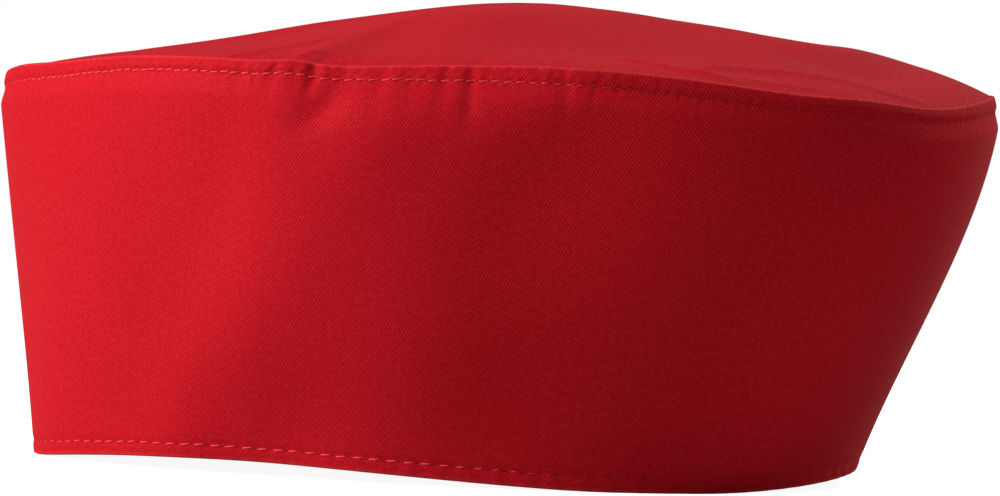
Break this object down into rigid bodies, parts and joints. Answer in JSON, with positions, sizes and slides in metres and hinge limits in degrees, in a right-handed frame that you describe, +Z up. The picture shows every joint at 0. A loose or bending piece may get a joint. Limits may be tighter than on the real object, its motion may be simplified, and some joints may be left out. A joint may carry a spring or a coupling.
{
  "type": "chef's skull cap",
  "caption": "Low brimless chef's cap of red twill: a tall side band with a turned hem, closed by a softly domed oval crown, open below for the head.",
  "frame": {"origin": "centre of the bounding box in X and Y, at the plane of the rim, where the cap rests", "axes": "+X to the back of the cap along its length, +Z up through the crown"},
  "size_m": [0.2332, 0.1972, 0.1108],
  "materials": {
    "band_twill": "matt red twill, with topstitching in red thread",
    "crown_twill": "matt red twill"
  },
  "bodies": {
    "root": {"band": "band_twill", "crown": "crown_twill"}
  },
  "joints": []
}
